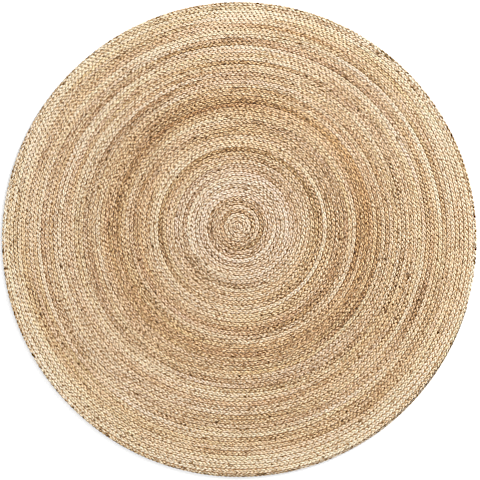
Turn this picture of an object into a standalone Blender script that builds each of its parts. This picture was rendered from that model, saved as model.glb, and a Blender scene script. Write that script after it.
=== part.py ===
# Round jute rug: one long flat jute braid, wound edge to edge into a disc and sewn row to row.
# Metres, +Z up, the rug lies on z = 0 with its middle at the origin and the photo's top edge towards +Y.
import math

import bmesh
import bpy

# Driving dimensions
RUG_DIAMETER = 1.220  # across the finished rug, a 4 ft round
ROW_COUNT = 57.0  # turns of braid from the coil's start to the rim
BRAID_HEIGHT = 0.0070  # crown of a row above the floor
SEAM_HEIGHT = 0.0050  # bottom of the groove where two rows are sewn together, above the floor
RIM_HEIGHT = 0.0034  # the rim is widest at this height
RIM_INSET = 0.0022  # the flat underside ends this far inside the rim
COIL_OFFSET_X = -0.0026  # the coil's start lies off the rug's middle, and the rows drift back to it
COIL_OFFSET_Y = 0.0334
DRIFT_POWER = 2.5  # the drift is slow at first and quicker towards the rim
COIL_SWAY = 0.0026  # sideways wander of the hand-wound rows between the start and the rim
TAIL_ANGLE = math.radians(-4.0)  # where the braid's end is sewn under the rim, from +X
TAIL_TURN = 0.36  # part of a turn over which the end of the braid thins out
ROUNDED_ROWS = 16.0  # outer rows that pass from a spiral to the rim's true circle
STEPS_PER_TURN = 50  # facets round one turn

# Sizes that follow
RUG_RADIUS = RUG_DIAMETER / 2
ROW_PITCH = RUG_RADIUS / ROW_COUNT
LAST_STEP = round(ROW_COUNT * STEPS_PER_TURN)
START_ANGLE = TAIL_ANGLE - 2 * math.pi * ROW_COUNT


def smooth_step(share):
    share = min(max(share, 0.0), 1.0)
    return share * share * (3.0 - 2.0 * share)


def seam_radius(turns):
    # Radius of the seam spiral after this many turns: it starts at the coil's start and ends on the rim.
    # Row n lies between seam_radius(n) and seam_radius(n + 1).
    if turns <= 0.0:
        return 0.0
    if turns >= ROW_COUNT:
        return RUG_RADIUS
    past_tail = (turns - ROW_COUNT) % 1.0  # part of a turn since the seam last passed the tail's angle
    stepped = max(0.0, (past_tail - (1.0 - TAIL_TURN)) / TAIL_TURN)
    roundness = smooth_step((turns - (ROW_COUNT - ROUNDED_ROWS)) / ROUNDED_ROWS)
    return ROW_PITCH * (turns + roundness * (stepped - past_tail))


def on_rug(step, radius, height):
    # A point on a row circle of this radius, whose centre drifts from the coil's start to the rug's middle.
    angle = START_ANGLE + 2 * math.pi * step / STEPS_PER_TURN
    share = radius / RUG_RADIUS
    left = 1.0 - share**DRIFT_POWER
    centre_x = COIL_OFFSET_X * left + COIL_SWAY * math.sin(2 * math.pi * share**2)
    centre_y = COIL_OFFSET_Y * left
    return (centre_x + radius * math.cos(angle), centre_y + radius * math.sin(angle), height)


def row_crown(step):
    # The radius of the row's crown, and how far it rises above the seams on either side.
    inner = seam_radius(step / STEPS_PER_TURN)
    outer = seam_radius(step / STEPS_PER_TURN + 1.0)
    width = outer - inner
    rise = (BRAID_HEIGHT - SEAM_HEIGHT) * min(1.0, 2.0 * width / ROW_PITCH)
    return (inner + outer) / 2, rise


def jute_finish():
    material = bpy.data.materials.new("braided_jute")
    material.use_nodes = True
    shader = material.node_tree.nodes["Principled BSDF"]
    shader.inputs["Base Color"].default_value = (0.62, 0.44, 0.27, 1.0)
    shader.inputs["Roughness"].default_value = 0.85
    shader.inputs["Metallic"].default_value = 0.0
    return material


def braided_coil():
    mesh = bpy.data.meshes.new("jute_braid_coil")
    bm = bmesh.new()

    # Seam spiral up to where it meets the rim, then once round the rim, which closes on the braid's end
    seam = []
    for step in range(LAST_STEP + STEPS_PER_TURN):
        height = SEAM_HEIGHT if step < LAST_STEP else RIM_HEIGHT
        seam.append(bm.verts.new(on_rug(step, seam_radius(step / STEPS_PER_TURN), height)))
    seam.append(seam[LAST_STEP])

    # The crown along the middle of each row
    crown = []
    for step in range(LAST_STEP):
        radius, rise = row_crown(step)
        crown.append(bm.verts.new(on_rug(step, radius, SEAM_HEIGHT + rise)))

    # Middle of the coil, inside the first row, and the cut start of the braid that stands beside it
    for step in range(1, STEPS_PER_TURN):
        bm.faces.new((seam[0], seam[step], seam[step + 1]))
    bm.faces.new((seam[0], seam[STEPS_PER_TURN], crown[0]))

    # Each row: up from the inner seam to the crown, and down to the outer seam or the rim
    for step in range(LAST_STEP - 1):
        after = step + 1
        outer = step + STEPS_PER_TURN
        bm.faces.new((seam[step], crown[step], crown[after], seam[after]))
        bm.faces.new((crown[step], seam[outer], seam[outer + 1], crown[after]))
    last = LAST_STEP - 1
    end = seam[LAST_STEP]
    bm.faces.new((seam[last], crown[last], end))
    bm.faces.new((crown[last], seam[last + STEPS_PER_TURN], end))

    # Rim, turned in under the last row, and the flat underside that rests on the floor
    rim = seam[LAST_STEP:LAST_STEP + STEPS_PER_TURN]
    underside = []
    for step in range(LAST_STEP, LAST_STEP + STEPS_PER_TURN):
        x, y, height = on_rug(step, RUG_RADIUS, 0.0)
        inward = (RUG_RADIUS - RIM_INSET) / RUG_RADIUS
        underside.append(bm.verts.new((x * inward, y * inward, height)))
    for step in range(STEPS_PER_TURN):
        after = (step + 1) % STEPS_PER_TURN
        bm.faces.new((rim[step], underside[step], underside[after], rim[after]))
    bm.faces.new(underside)

    bmesh.ops.recalc_face_normals(bm, faces=bm.faces)
    bm.to_mesh(mesh)
    bm.free()
    mesh.shade_smooth()
    mesh.set_sharp_from_angle(angle=math.radians(50.0))
    mesh.materials.append(jute_finish())
    coil = bpy.data.objects.new("jute_braid_coil", mesh)
    bpy.context.scene.collection.objects.link(coil)
    return coil


for old in list(bpy.data.objects):
    bpy.data.objects.remove(old)
braided_coil()
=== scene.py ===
import math

import bpy
import numpy as np
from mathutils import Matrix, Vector


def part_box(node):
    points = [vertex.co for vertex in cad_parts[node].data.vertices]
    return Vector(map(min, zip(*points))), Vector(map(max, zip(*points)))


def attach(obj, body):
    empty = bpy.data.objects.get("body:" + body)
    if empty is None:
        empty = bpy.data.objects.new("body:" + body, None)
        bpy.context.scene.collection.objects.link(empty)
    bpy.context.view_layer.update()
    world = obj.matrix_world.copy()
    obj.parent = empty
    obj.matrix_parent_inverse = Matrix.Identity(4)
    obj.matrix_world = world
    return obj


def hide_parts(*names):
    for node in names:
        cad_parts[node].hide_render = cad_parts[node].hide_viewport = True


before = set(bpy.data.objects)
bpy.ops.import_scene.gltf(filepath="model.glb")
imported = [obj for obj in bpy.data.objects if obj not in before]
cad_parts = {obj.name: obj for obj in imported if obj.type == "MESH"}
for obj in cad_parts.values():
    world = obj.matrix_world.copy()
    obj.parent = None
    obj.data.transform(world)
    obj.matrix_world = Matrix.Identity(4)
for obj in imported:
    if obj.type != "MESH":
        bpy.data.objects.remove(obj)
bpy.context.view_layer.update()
coilNode = "jute_braid_coil"
coilLow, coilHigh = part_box(coilNode)
rng = np.random.default_rng(412)
print("frame loaded, rug box", [round(x, 4) for x in (*coilLow, *coilHigh)])

# The coil as it was wound: the same rows as the solid has, in metres
coil = {
    "radius": 0.610,
    "rowCount": 57.0,
    "height": coilHigh.z - coilLow.z,
    "startOffset": (-0.0026, 0.0334),  # the coil's start from the rug's middle
    "driftPower": 2.5,
    "sway": 0.0026,
    "tailAngle": math.radians(-4.0),
    "tailTurn": 0.36,
    "roundedRows": 16.0,
    "leadIn": 0.62,  # part of a turn that is tucked into the middle before the first full row
    "tailStop": 0.035,  # part of a turn left off where the braid's end has thinned to nothing
    "thinnest": 0.25,  # the braid's two ends are thinned to this share of a strand
    "traceSteps": 60000,  # points along the spiral when its length is measured
    "frayed": [(56.153, 0.006), (55.160, 0.004), (56.005, 0.005)],  # joins and the tail: turn, half a span
}
coil["pitch"] = coil["radius"] / coil["rowCount"]

# One flat three-strand plait
plait = {
    "stitchLength": 0.0116,  # one strand's crossing shows this often along each side
    "strandWidth": 0.0050,
    "strandThickness": 0.0036,
    "overlap": 0.0004,  # neighbouring rows press this far into each other
    "middleHeight": 0.0032,
    "rise": 0.0014,  # a strand goes this far over and under the braid's middle
    "crownLean": math.radians(18),  # the crown of a crossing lies nearer the row's edge than its middle
    "edgeLift": 0.0006,  # and rides up where two rows press together
    "swell": 0.12,  # a strand bulges this much where it lies free on top
    "squareness": 0.07,  # straighter crossings and tighter turns than a pure sine
    "ringsPerPeriod": 10,
    "sides": 5,
    "zones": 8,  # meshes that share the braid's length
    "bakeBands": 12,  # bands a strand is cut into in each mesh's baking map
    "bandEnds": 0.002,  # margins in that map, as a share of its width and of one band
    "bandSides": 0.06,
    "capInMap": 0.008,  # radius of a strand's cut end in the maps
    "fibreApart": 70.0,  # metres between the three strands in the fibre map, so that none repeats another
}

# Hand work is uneven: how far each thing strays, and over what length of braid in metres
stray = {
    "stitchLength": (0.08, 0.6),
    "row": (0.0003, 0.2),  # sideways, in metres
    "crossing": (0.18, 0.016),  # early or late, in radians of the plait's period
    "strandWidth": (0.12, 0.012),
    "strandThickness": (0.10, 0.02),
    "reach": (0.06, 0.014),  # how far a strand swings out to the row's edges
    "lift": (0.0003, 0.010),
    "hank": (1.0, 0.26),  # tones, from here on in the units of the hanks below
    "hankSlow": (0.5, 1.9),
    "loose": (1.0, 0.14),  # loosely plaited lengths get deeper painted shade in the gaps and painted shade along the row's edges
    "looseSlow": (0.5, 0.9),
    "warm": (0.9, 0.3),
    "pink": (0.9, 0.25),
    "strandTone": (0.5, 0.3),
    "fineTone": (0.4, 0.0045),
    "strandWarm": (0.9, 0.10),
    "strandPink": (1.1, 0.06),
    "bark": (1.0, 0.009),
    "rimShade": (1.0, 0.02),
    "fray": (0.9, 0.006),
}
hankPull = {"tone": 1.15, "warm": -0.5}  # a pale hank is a cool one
loosePull = {"warm": 0.6, "pink": 0.4, "gapShade": 0.6}

# Dark marks and painted shade: bits of bark, more of them near the rim, painted shade along the rows' edges
# and on the rim's outer side, frayed joins
marksAndShade = {
    "barkFrom": 1.15,
    "barkSoftness": 0.25,
    "barkGapShade": 0.7,
    "rimFrom": 0.93,  # share of the way out at which the rim's extra bark starts
    "rimSpan": 0.05,
    "rimBark": 0.45,
    "looseSeamShade": 0.55,
    "rimShade": 0.5,
    "rimWidth": 0.0065,
    "rimSoftness": 0.0025,
    "frayReach": 1.3,
    "fray": 0.9,
    "frayMost": 1.6,
}

# Jute: coarse bast fibre, loosely spun: matt, with a faint silkiness along each bundle
jute = {
    "girth": 0.0140,  # round a strand
    "bundle": 0.0018,  # fibre bundles across a strand: real ones are 0.5 to 1 mm, drawn coarser to show
    "bundleRun": 0.0080,  # length of one bundle before it goes under the next
    "twist": 0.03,  # the strand is loosely twisted: its bundles lean this much round it
    "fibre": 0.0012,
    "fibreRun": 0.008,
    "streak": 2.30,  # how much bundles, fibres, hank tone and dark marks change the lightness
    "hairStreak": 0.50,
    "toneWeight": 0.09,
    "darkAndShadeWeight": -0.5,
    "creviceShade": 0.20,
    "unshadedHeight": 0.0064,  # painted crevice shade: none above this height, full below the next
    "fullShadeHeight": 0.0036,
    "topHighlight": 0.30,  # painted highlight on a strand's top, painted shade on its sides
    "middle": 0.438,
    "greenLevel": 0.988,
    "blueLevel": 0.967,
    "pinkOnGreen": -0.022,
    "warmOnGreen": -0.030,
    "warmOnBlue": -0.100,
    "fibreRelief": 0.4,
    "relief": 0.0016,
}

# How the jute's tone runs along the braid, as (row, lightness, warmth, redness): grey pale middle,
# a brown ring, the orange ring half way out, mixed straw rows and a cream rim
hanks = [
    (0.0, 0.9, -1.2, 1.0), (2.4, 1.2, 0.0, -0.5), (5.2, -1.3, -0.5, -0.5), (7.2, -0.4, -1.5, 1.0),
    (8.4, 1.2, -2.4, 0.5), (11.6, 0.6, -1.5, -0.7), (14.2, -0.4, -0.8, 0.3), (18.6, -1.0, 0.5, -0.4),
    (20.8, 0.7, -1.0, -0.9), (23.0, -1.5, 1.2, 0.2), (25.0, -2.3, 1.2, 0.9), (26.8, 0.9, -0.7, -0.9),
    (30.0, -3.3, 2.9, 1.2), (31.6, -2.2, 1.8, 0.8), (34.6, -0.6, 0.0, -0.1), (37.0, -2.3, 0.4, 0.3),
    (39.5, 0.8, -0.6, -0.8), (41.2, -0.4, 0.4, 0.6), (43.0, 0.7, -0.7, -0.7), (46.5, -0.7, 0.2, 0.4),
    (48.5, 1.2, -1.0, -1.0), (50.5, -1.0, 0.9, 0.4), (53.0, 1.3, 0.0, -1.0), (57.0, 1.0, -1.6, -1.7),
]


def smoothStep(share):
    share = np.clip(share, 0.0, 1.0)
    return share * share * (3.0 - 2.0 * share)


def seamRadius(turns):
    # the seam between two rows, as a spiral that ends on the rim
    turns = np.asarray(turns, float)
    pastTail = (turns - coil["rowCount"]) % 1.0
    stepped = np.maximum(0.0, (pastTail - 1.0 + coil["tailTurn"]) / coil["tailTurn"])
    roundness = smoothStep((turns - coil["rowCount"] + coil["roundedRows"]) / coil["roundedRows"])
    radius = coil["pitch"] * (turns + roundness * (stepped - pastTail))
    return np.where(turns >= coil["rowCount"], coil["radius"], np.where(turns <= 0.0, 0.0, radius))


def onRug(turns, radius, height):
    # row circles drift from the coil's start to the rug's middle
    angle = coil["tailAngle"] + 2 * math.pi * (turns - coil["rowCount"])
    share = radius / coil["radius"]
    left = 1.0 - share ** coil["driftPower"]
    x = coil["startOffset"][0] * left + coil["sway"] * np.sin(2 * math.pi * share**2)
    y = coil["startOffset"][1] * left
    return np.stack([x + radius * np.cos(angle), y + radius * np.sin(angle), height + 0 * angle], -1)


def slowNoise(places, spacing):
    # smooth random values of about -1 to 1, one knot every spacing
    knots = rng.normal(0.0, 0.6, int(np.max(places) / spacing) + 4)
    at = np.maximum(places, 0.0) / spacing
    low = at.astype(int)
    blend = smoothStep(at - low)
    return np.clip(knots[low] * (1.0 - blend) + knots[low + 1] * blend, -1.5, 1.5)


def astray(length, thing):
    amount, spacing = stray[thing]
    return amount * slowNoise(length, spacing)


def layOutBraid():
    # evenly spaced rings along the braid, from the tucked start to the sewn-down end
    turnSteps = np.linspace(-coil["leadIn"], coil["rowCount"] - coil["tailStop"], coil["traceSteps"])
    middle = (seamRadius(turnSteps) + seamRadius(turnSteps + 1.0)) / 2
    line = onRug(turnSteps, middle, coil["height"] / 2)
    lengthAt = np.concatenate([[0.0], np.cumsum(np.linalg.norm(np.diff(line, axis=0), axis=1))])
    period = 3 * plait["stitchLength"]
    count = int(lengthAt[-1] / period * plait["ringsPerPeriod"])
    length = np.linspace(0.0, lengthAt[-1], count)
    pace = 1.0 + astray(length, "stitchLength")
    turns = np.interp(length, lengthAt, turnSteps)
    inner, outer = seamRadius(turns), seamRadius(turns + 1.0)
    hankRows, hankLight, hankWarm, hankRed = np.array(hanks).T
    rows = turns + 0.5
    hankTone = astray(length, "hank") + astray(length, "hankSlow")
    loose = astray(length, "loose") + astray(length, "looseSlow")
    warm = np.interp(rows, hankRows, hankWarm) + hankPull["warm"] * hankTone + loosePull["warm"] * loose
    warm = warm + astray(length, "warm")
    pink = np.interp(rows, hankRows, hankRed) + loosePull["pink"] * loose + astray(length, "pink")
    frayed = sum(smoothStep(marksAndShade["frayReach"] - np.abs(turns - at) / span) for at, span in coil["frayed"])
    print(f"braid length {lengthAt[-1]:.2f} m, {count} rings")
    return {
        "length": length,
        "step": length[1],
        "turns": turns,
        "middle": (inner + outer) / 2 + astray(length, "row"),
        "width": outer - inner,
        "full": np.clip((outer - inner) / coil["pitch"], coil["thinnest"], 1.0),
        "phase": -np.cumsum(pace) * length[1] / period * 2 * math.pi,
        "tone": np.interp(rows, hankRows, hankLight) + hankPull["tone"] * hankTone,
        "warm": warm,
        "pink": pink,
        "loose": loose,
        "frayed": frayed,
    }


def markDarkAndShade(braid, side, radius, bark):
    # how dark the marks and the painted shade are along one strand
    length = braid["length"]
    rimward = smoothStep((braid["turns"] / coil["rowCount"] - marksAndShade["rimFrom"]) / marksAndShade["rimSpan"])
    flecks = smoothStep((bark - marksAndShade["barkFrom"] + marksAndShade["rimBark"] * rimward) / marksAndShade["barkSoftness"])
    # painted shade along the row's edges, where rows meet, in loose lengths
    seamShade = marksAndShade["looseSeamShade"] * np.maximum(braid["loose"], 0.0) * side**4
    # painted shade on the rim's outer side
    onRim = smoothStep((radius - coil["radius"] + marksAndShade["rimWidth"]) / marksAndShade["rimSoftness"])
    rimShade = marksAndShade["rimShade"] * onRim * (1.0 + astray(length, "rimShade"))
    fray = braid["frayed"] * np.clip(marksAndShade["fray"] + astray(length, "fray"), 0.0, marksAndShade["frayMost"])
    return flecks + seamShade + rimShade + fray


def layStrand(braid, number):
    # centre line of one of the three strands, its half width and half thickness, and its tones
    length = braid["length"]
    phase = braid["phase"] + 2 * math.pi * number / 3 + astray(length, "crossing")
    side = (np.sin(phase) - plait["squareness"] * np.sin(3 * phase)) / (1.0 + plait["squareness"])
    crown = np.sin(2 * phase - plait["crownLean"])
    restWidth = plait["strandWidth"] / 2 * braid["full"]
    halfWidth = restWidth * (1.0 + astray(length, "strandWidth")) * (1.0 + plait["swell"] * crown)
    halfThickness = plait["strandThickness"] / 2 * (1.0 + astray(length, "strandThickness"))
    reach = (braid["width"] / 2 - restWidth + plait["overlap"]) * (1.0 + astray(length, "reach"))
    radius = np.minimum(braid["middle"] + side * np.maximum(reach, 0.0), coil["radius"] - halfWidth)
    height = plait["middleHeight"] + plait["rise"] * crown + plait["edgeLift"] * np.sin(phase) ** 4
    height = height + astray(length, "lift")
    bark = astray(length, "bark")
    return {
        "centres": onRug(braid["turns"], radius, height),
        "halfWidth": halfWidth,
        "halfThickness": halfThickness,
        "tone": braid["tone"] + astray(length, "strandTone") + astray(length, "fineTone"),
        "warm": braid["warm"] + astray(length, "strandWarm"),
        "pink": braid["pink"] + astray(length, "strandPink"),
        # painted shade deep between the strands, deeper in loose lengths and at bark
        "gapShade": jute["creviceShade"] * (1.0 + loosePull["gapShade"] * braid["loose"] + marksAndShade["barkGapShade"] * bark),
        "darkAndShade": markDarkAndShade(braid, side, radius, bark),
    }


def makePiece(name, points, quads, caps):
    # a mesh object from arrays: quads first, then faces of any size
    mesh = bpy.data.meshes.new(name)
    loops = np.concatenate([quads.ravel(), *[np.asarray(c) for c in caps]]).astype(np.int32)
    sizes = np.array([4] * len(quads) + [len(c) for c in caps], np.int32)
    starts = np.concatenate([[0], np.cumsum(sizes)[:-1]]).astype(np.int32)
    mesh.vertices.add(len(points))
    mesh.vertices.foreach_set("co", points.astype(np.float32).ravel())
    mesh.loops.add(len(loops))
    mesh.loops.foreach_set("vertex_index", loops)
    mesh.polygons.add(len(sizes))
    mesh.polygons.foreach_set("loop_start", starts)
    mesh.polygons.foreach_set("loop_total", sizes)
    mesh.update(calc_edges=True)
    mesh.shade_smooth()
    piece = bpy.data.objects.new(name, mesh)
    bpy.context.scene.collection.objects.link(piece)
    return piece


def setUvs(mesh, name, values):
    mesh.uv_layers.new(name=name).uv.foreach_set("vector", values.astype(np.float32).ravel())


def setAttribute(mesh, name, values):
    mesh.attributes.new(name, "FLOAT", "POINT").data.foreach_set("value", values.astype(np.float32))


def roundStrand(strand, part):
    # flattened rings round a strand's path: their wide side stays level
    centres = strand["centres"][part]
    along = np.gradient(centres, axis=0)
    along /= np.linalg.norm(along, axis=1, keepdims=True)
    across = np.cross((0.0, 0.0, 1.0), along)
    across /= np.linalg.norm(across, axis=1, keepdims=True)
    upward = np.cross(along, across)
    angles = np.arange(plait["sides"]) / plait["sides"] * 2 * math.pi
    wide = strand["halfWidth"][part, None] * np.cos(angles)
    thick = strand["halfThickness"][part, None] * np.sin(angles)
    return centres[:, None] + across[:, None] * wide[..., None] + upward[:, None] * thick[..., None]


def skinRings(ringTotal, first):
    sides = plait["sides"]
    ring = np.arange(ringTotal - 1)[:, None] * sides + first
    side = np.arange(sides)[None]
    nextSide = (side + 1) % sides
    quads = np.stack([ring + side, ring + nextSide, ring + nextSide + sides, ring + side + sides], -1)
    startCap = list(range(first + sides - 1, first - 1, -1))
    endCap = list(range(first + (ringTotal - 1) * sides, first + ringTotal * sides))
    return quads.reshape(-1, 4), startCap, endCap


def mapStrand(ringTotal, runStart, step, firstBand, bandCount):
    # two maps: metres along and round the strand, and the strand cut into bands that fill a square
    sides, girth = plait["sides"], jute["girth"]
    ring = np.arange(ringTotal - 1)[:, None]
    side = np.arange(sides)[None]
    perBand = math.ceil((ringTotal - 1) / plait["bakeBands"])
    band, inBand = ring // perBand, ring % perBand
    ends, edges = plait["bandEnds"], plait["bandSides"]
    run, bake = [], []
    for a, b in [(0, 0), (0, 1), (1, 1), (1, 0)]:
        along = runStart + (ring + a) * step + 0 * side
        around = (side + b) / sides * girth + 0 * ring
        run.append(np.stack([along, around], -1))
        inMap = ends + (1.0 - 2 * ends) * (inBand + a) / perBand + 0 * side
        inBandSide = edges + (1.0 - 2 * edges) * (side + b) / sides
        bake.append(np.stack([inMap, (firstBand + band + inBandSide) / bandCount], -1))
    return np.stack(run, 2).reshape(-1, 2), np.stack(bake, 2).reshape(-1, 2)


def makeRows(name, braid, strands, first, last):
    # the three strands over one length of the braid, as one mesh
    grown = slice(max(first - 1, 0), min(last + 1, len(braid["length"])))
    kept = slice(first - grown.start, first - grown.start + last - first)
    bandCount = 3 * plait["bakeBands"] + 1
    capAngles = np.arange(plait["sides"]) / plait["sides"] * 2 * math.pi
    capRing = plait["capInMap"] * np.stack([np.cos(capAngles), np.sin(capAngles)], -1)
    points, quads, caps, runUvs, bakeUvs, capUvs = [], [], [], [], [], []
    attributes = {"tone": [], "warm": [], "pink": [], "gapShade": [], "darkAndShade": []}
    used = 0
    for number, strand in enumerate(strands):
        rings = roundStrand(strand, grown)[kept]
        rings[..., 2] = np.clip(rings[..., 2], coilLow.z, coilHigh.z)
        faces, startCap, endCap = skinRings(len(rings), used)
        runStart = first * braid["step"] + plait["fibreApart"] * number
        run, bake = mapStrand(len(rings), runStart, braid["step"], number * plait["bakeBands"], bandCount)
        points.append(rings.reshape(-1, 3))
        quads.append(faces)
        caps += [startCap, endCap]
        runUvs.append(run)
        bakeUvs.append(bake)
        for end in range(2):
            cap = capRing + ((number * 2 + end + 0.5) / 6, 1.0 - 0.5 / bandCount)
            capUvs.append(cap[::-1] if end == 0 else cap)
        for key, values in attributes.items():
            values.append(np.repeat(strand[key][first:last], plait["sides"]))
        used += len(rings) * plait["sides"]
    piece = makePiece(name, np.concatenate(points), np.concatenate(quads), caps)
    setUvs(piece.data, "strandRun", np.concatenate(runUvs + capUvs))
    setUvs(piece.data, "OFBake", np.concatenate(bakeUvs + capUvs))
    for key, values in attributes.items():
        setAttribute(piece.data, key, np.concatenate(values))
    return piece


braid = layOutBraid()
strands = [layStrand(braid, number) for number in range(3)]
zoneEdges = np.linspace(0, len(braid["length"]) - 1, plait["zones"] + 1).astype(int)
braidPieces = [makeRows(f"braid_rows_{zone + 1}", braid, strands, zoneEdges[zone], zoneEdges[zone + 1] + 1)
               for zone in range(plait["zones"])]
print("braid made,", sum(len(p.data.polygons) for p in braidPieces) * 2, "triangles")


def toLinear(hexColour):
    parts = [int(hexColour[i:i + 2], 16) / 255 for i in (1, 3, 5)]
    linear = [p / 12.92 if p <= 0.04045 else ((p + 0.055) / 1.055) ** 2.4 for p in parts]
    return (*linear, 1.0)


def addNode(tree, kind, settings=None, inputs=None, stops=None):
    # inputs hold plain values, or a node or an output to link; stops are a colour ramp's
    node = tree.nodes.new(kind)
    for key, value in (settings or {}).items():
        setattr(node, key, value)
    for key, value in (inputs or {}).items():
        if isinstance(value, bpy.types.Node):
            value = value.outputs[0]
        if isinstance(value, bpy.types.NodeSocket):
            tree.links.new(value, node.inputs[key])
        else:
            node.inputs[key].default_value = value
    for number, (place, colour) in enumerate(stops or []):
        elements = node.color_ramp.elements
        element = elements[number] if number < len(elements) else elements.new(place)
        element.position = place
        element.color = toLinear(colour)
    return node


def newMaterial(name):
    material = bpy.data.materials.new(name)
    material.use_nodes = True
    return material, material.node_tree, material.node_tree.nodes["Principled BSDF"]


def makeJute():
    material, tree, shader = newMaterial("spunJute")
    run = addNode(tree, "ShaderNodeSeparateXYZ", None,
                  {0: addNode(tree, "ShaderNodeUVMap", {"uv_map": "strandRun"})})
    given = {key: addNode(tree, "ShaderNodeAttribute", {"attribute_name": key}).outputs["Fac"]
             for key in ("tone", "warm", "pink", "gapShade", "darkAndShade")}
    lean = addNode(tree, "ShaderNodeMath", {"operation": "MULTIPLY_ADD"},
                   {0: run.outputs["X"], 1: jute["twist"], 2: run.outputs["Y"]})
    spun = addNode(tree, "ShaderNodeCombineXYZ", None, {"X": run.outputs["X"], "Y": lean})
    bundleAt = addNode(tree, "ShaderNodeVectorMath", {"operation": "MULTIPLY"},
                       {0: spun, 1: (1 / jute["bundleRun"], 1 / jute["bundle"], 1.0)})
    bundles = addNode(tree, "ShaderNodeTexNoise", {"noise_dimensions": "2D"},
                      {"Vector": bundleAt, "Scale": 1.0, "Detail": 1.0, "Roughness": 0.5})
    fibreAt = addNode(tree, "ShaderNodeVectorMath", {"operation": "MULTIPLY"},
                      {0: spun, 1: (1 / jute["fibreRun"], 1 / jute["fibre"], 1.0)})
    fibres = addNode(tree, "ShaderNodeTexNoise", {"noise_dimensions": "2D"},
                     {"Vector": fibreAt, "Scale": 1.0, "Detail": 2.0, "Roughness": 0.6})
    place = addNode(tree, "ShaderNodeSeparateXYZ", None,
                    {0: addNode(tree, "ShaderNodeTexCoord").outputs["Object"]})
    # painted crevice shade: the lower the fibre, the darker it is drawn
    heightShade = addNode(tree, "ShaderNodeMapRange", {"interpolation_type": "SMOOTHSTEP"},
                    {"Value": place.outputs["Z"], "From Min": jute["unshadedHeight"],
                     "From Max": jute["fullShadeHeight"], "To Min": 0.0, "To Max": -1.0})
    evenLight = jute["middle"] - 0.5 * (jute["streak"] + jute["hairStreak"])
    creviceShaded = addNode(tree, "ShaderNodeMath", {"operation": "MULTIPLY_ADD"},
                     {0: heightShade, 1: given["gapShade"], 2: evenLight})
    # painted highlight on each strand's top and painted shade on its sides
    around = addNode(tree, "ShaderNodeMath", {"operation": "MULTIPLY_ADD"},
                     {0: run.outputs["Y"], 1: 2 * math.pi / jute["girth"], 2: -math.pi / 2})
    top = addNode(tree, "ShaderNodeMath", {"operation": "COSINE"}, {0: around})
    # how light the fibre is here: painted shade in the crevices, then a painted highlight on the tops,
    # bundles, fibres, hank, and marks with painted shade
    value = creviceShaded
    for part, weight in (
        (top, jute["topHighlight"]), (bundles, jute["streak"]), (fibres, jute["hairStreak"]),
        (given["tone"], jute["toneWeight"]), (given["darkAndShade"], jute["darkAndShadeWeight"]),
    ):
        value = addNode(tree, "ShaderNodeMath", {"operation": "MULTIPLY_ADD"}, {0: part, 1: weight, 2: value})
    colour = addNode(tree, "ShaderNodeValToRGB", None, {"Fac": value}, [
        (0.00, "#4A2F09"), (1.00, "#E0CDB1"), (0.22, "#876030"), (0.45, "#C09D74"), (0.68, "#D9C09F"),
    ])
    # hanks differ a little in hue: pinkish grey, straw, and a warmer orange brown
    pinker = addNode(tree, "ShaderNodeMath", {"operation": "MULTIPLY_ADD"},
                     {0: given["pink"], 1: jute["pinkOnGreen"], 2: jute["greenLevel"]})
    green = addNode(tree, "ShaderNodeMath", {"operation": "MULTIPLY_ADD"},
                    {0: given["warm"], 1: jute["warmOnGreen"], 2: pinker})
    blue = addNode(tree, "ShaderNodeMath", {"operation": "MULTIPLY_ADD"},
                   {0: given["warm"], 1: jute["warmOnBlue"], 2: jute["blueLevel"]})
    tint = addNode(tree, "ShaderNodeCombineColor", None, {"Red": 1.0, "Green": green, "Blue": blue})
    tinted = addNode(tree, "ShaderNodeMix", {"data_type": "RGBA", "blend_type": "MULTIPLY"},
                     {"Factor": 1.0, 6: colour, 7: tint})
    ridges = addNode(tree, "ShaderNodeMath", {"operation": "MULTIPLY_ADD"},
                     {0: fibres, 1: jute["fibreRelief"], 2: bundles})
    bump = addNode(tree, "ShaderNodeBump", None,
                   {"Strength": 0.9, "Distance": jute["relief"], "Height": ridges})
    tree.links.new(tinted.outputs[2], shader.inputs["Base Color"])
    tree.links.new(bump.outputs["Normal"], shader.inputs["Normal"])
    shader.inputs["Roughness"].default_value = 0.6
    shader.inputs["IOR"].default_value = 1.5
    shader.inputs["Specular IOR Level"].default_value = 0.35
    shader.inputs["Sheen Weight"].default_value = 0.10
    return material


def dress(piece, material):
    piece.data.materials.append(material)
    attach(piece, "root")
    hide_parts(coilNode)


spunJute = makeJute()
for piece in braidPieces:
    dress(piece, spunJute)
print("jute material made")

# The inside of the coil, where the strands press on each other: its rows show at the bottom of the gaps
core = {
    "crown": 0.0044,
    "seam": 0.0034,
    "low": 0.0014,
    "inset": 0.004,
    "tuckedRows": 3.0,
    "spokes": 160,
    "mapSpan": 2.04,  # rug radii across its baking map, which leaves a margin
    "cutInMap": [(0.005, 0.005), (0.015, 0.005), (0.010, 0.015)],  # the braid's upright cut start
    "streaksPerRadian": 40.0,
    "relief": 0.0010,
}


def tuckIn(radius):
    # the core's outer rows draw in, so that its edge stays under the last row
    reach = core["tuckedRows"] * coil["pitch"]
    return radius - core["inset"] * smoothStep((radius - coil["radius"] + reach) / reach)


def mapCore(points, corners, topCount, edgeCount):
    # baking map: the top in one half of the square, edge and underside in the other
    flat = points[corners, :2] / (core["mapSpan"] * coil["radius"]) + 0.5
    half = np.zeros(len(corners))
    half[topCount:topCount + edgeCount] = 0.5
    half[-3 * core["spokes"]:] = 0.5
    uvs = np.column_stack([flat[:, 0] / 2 + half, flat[:, 1]])
    uvs[-3 * core["spokes"] - 3:-3 * core["spokes"]] = core["cutInMap"]
    return uvs


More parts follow.
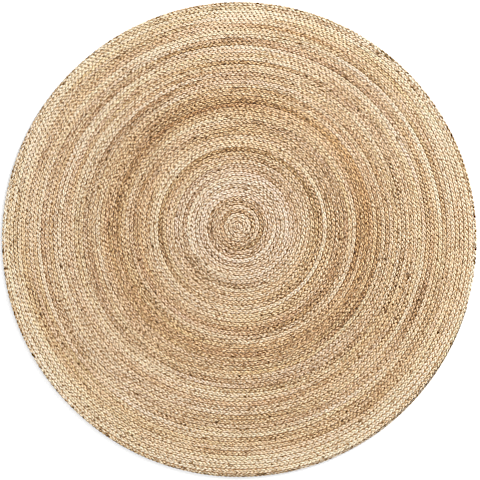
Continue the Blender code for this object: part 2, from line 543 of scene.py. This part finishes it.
def makeCore():
    # points: ribs under the rows with the edge between, an underside drawn further in, and its middle
    spokes = core["spokes"]
    steps = int(coil["rowCount"]) * spokes
    turns = np.arange(steps) / spokes
    inner, outer = seamRadius(turns), seamRadius(turns + 1.0)
    edgeTurns = coil["rowCount"] + np.arange(spokes) / spokes
    points = np.concatenate([
        onRug(turns, tuckIn(inner), core["seam"]),
        onRug(edgeTurns, coil["radius"] - core["inset"], core["seam"]),
        onRug(turns, tuckIn((inner + outer) / 2), core["crown"]),
        onRug(edgeTurns, coil["radius"] - 2 * core["inset"], core["low"]),
        [[0.0, 0.0, core["low"]]],
    ])
    crown = steps + spokes
    under = crown + steps
    middle = under + spokes
    step = np.arange(steps - 1)
    last = steps - 1
    spoke = np.arange(spokes)
    after = (spoke + 1) % spokes
    rise = np.stack([step, crown + step, crown + step + 1, step + 1], -1)
    fall = np.stack([crown + step, step + spokes, step + spokes + 1, crown + step + 1], -1)
    edge = np.stack([steps + spoke, under + spoke, under + after, steps + after], -1)
    quads = np.concatenate([rise, fall, edge])
    # inside the first row, the braid's thinned end, its cut start and the underside, in this order
    caps = [[0, k, k + 1] for k in range(1, spokes)]
    caps += [[last, crown + last, steps], [crown + last, last + spokes, steps]]
    caps += [[0, spokes, crown]]
    caps += [[middle, under + n, under + k] for k, n in zip(spoke, after)]
    piece = makePiece("rug_core", points, quads, caps)
    corners = np.concatenate([quads.ravel(), np.ravel(caps)])
    setUvs(piece.data, "OFBake", mapCore(points, corners, rise.size + fall.size, edge.size))
    return piece


def makeShadedCoreJute():
    # the core's fibre streaked along the rows and dull, painted a darker brown as shade deep between the
    # strands
    material, tree, shader = newMaterial("shadedCoreJute")
    place = addNode(tree, "ShaderNodeTexCoord").outputs["Object"]
    across = addNode(tree, "ShaderNodeSeparateXYZ", None, {0: place})
    angle = addNode(tree, "ShaderNodeMath", {"operation": "ARCTAN2"},
                    {0: across.outputs["Y"], 1: across.outputs["X"]})
    radius = addNode(tree, "ShaderNodeVectorMath", {"operation": "LENGTH"}, {0: place}).outputs["Value"]
    polar = addNode(tree, "ShaderNodeCombineXYZ", None, {"X": angle, "Y": radius})
    alongRows = addNode(tree, "ShaderNodeVectorMath", {"operation": "MULTIPLY"},
                        {0: polar, 1: (core["streaksPerRadian"], 1 / jute["fibre"], 1.0)})
    noise = addNode(tree, "ShaderNodeTexNoise", {"noise_dimensions": "2D"},
                    {"Vector": alongRows, "Scale": 1.0, "Detail": 2.0, "Roughness": 0.6})
    colour = addNode(tree, "ShaderNodeValToRGB", None, {"Fac": noise}, [(0.3, "#7E5830"), (0.7, "#C4A078")])
    bump = addNode(tree, "ShaderNodeBump", None,
                   {"Strength": 0.8, "Distance": core["relief"], "Height": noise})
    tree.links.new(colour.outputs[0], shader.inputs["Base Color"])
    tree.links.new(bump.outputs["Normal"], shader.inputs["Normal"])
    shader.inputs["Roughness"].default_value = 0.95
    return material


rugCore = makeCore()
dress(rugCore, makeShadedCoreJute())
print("core made,", len(rugCore.data.polygons), "faces")

# A plain pale floor
floorReach = 6.0
floorCorners = [(floorReach * x, floorReach * y, 0.0) for x, y in ((-1, -1), (1, -1), (1, 1), (-1, 1))]
floorMesh = bpy.data.meshes.new("paleFloor")
floorMesh.from_pydata(floorCorners, [], [(0, 1, 2, 3)])
paleFloor = bpy.data.objects.new("paleFloor", floorMesh)
bpy.context.scene.collection.objects.link(paleFloor)
floorPaint, floorTree, floorShader = newMaterial("paleFloorPaint")
floorShader.inputs["Base Color"].default_value = toLinear("#FAFAFA")
floorShader.inputs["Roughness"].default_value = 0.9
floorMesh.materials.append(floorPaint)

# The photograph, in pixels, and a lens long enough to show as little perspective as it does
photo = {"side": 480, "outlineCentre": (239.42, 239.57), "outlineRadius": 237.6}
overhead = {"lens": 100.0, "sensor": 36.0}


def placeCamera():
    perPixel = coil["radius"] / photo["outlineRadius"]
    data = bpy.data.cameras.new("overheadCamera")
    data.lens = overhead["lens"]
    data.sensor_width = overhead["sensor"]
    camera = bpy.data.objects.new("overheadCamera", data)
    camera.location = (
        (photo["side"] / 2 - photo["outlineCentre"][0]) * perPixel,
        (photo["outlineCentre"][1] - photo["side"] / 2) * perPixel,
        photo["side"] * perPixel / overhead["sensor"] * overhead["lens"] + coil["height"] / 2,
    )
    bpy.context.scene.collection.objects.link(camera)
    bpy.context.scene.camera = camera


# A white room and one low softbox beyond the top right corner, which picks out the weave
studio = {
    "room": 1.06,
    "softbox": 850,
    "softboxSize": 1.4,
    "softboxAt": (5.20, 5.60, 3.20),
    "sharpen": 0.09,
}


def lightRoom():
    world = bpy.data.worlds.new("softRoom")
    bpy.context.scene.world = world
    world.use_nodes = True
    background = world.node_tree.nodes["Background"]
    background.inputs["Color"].default_value = toLinear("#FFFFFF")
    background.inputs["Strength"].default_value = studio["room"]
    data = bpy.data.lights.new("softbox", "AREA")
    data.size = studio["softboxSize"]
    data.energy = studio["softbox"]
    lamp = bpy.data.objects.new("softbox", data)
    lamp.location = studio["softboxAt"]
    lamp.rotation_euler = Vector(studio["softboxAt"]).to_track_quat("Z", "Y").to_euler()
    bpy.context.scene.collection.objects.link(lamp)
    bpy.context.scene.view_settings.view_transform = "Standard"


def sharpenPicture():
    # the photograph is crisply sharpened, so the render gets a little of the same
    scene = bpy.context.scene
    scene.use_nodes = True
    tree = scene.node_tree
    tree.nodes.clear()
    layers = addNode(tree, "CompositorNodeRLayers")
    crisp = addNode(tree, "CompositorNodeFilter", {"filter_type": "SHARPEN_DIAMOND"},
                    {"Fac": studio["sharpen"], "Image": layers.outputs["Image"]})
    addNode(tree, "CompositorNodeComposite", None, {"Image": crisp})


placeCamera()
lightRoom()
sharpenPicture()
print("camera and light placed")
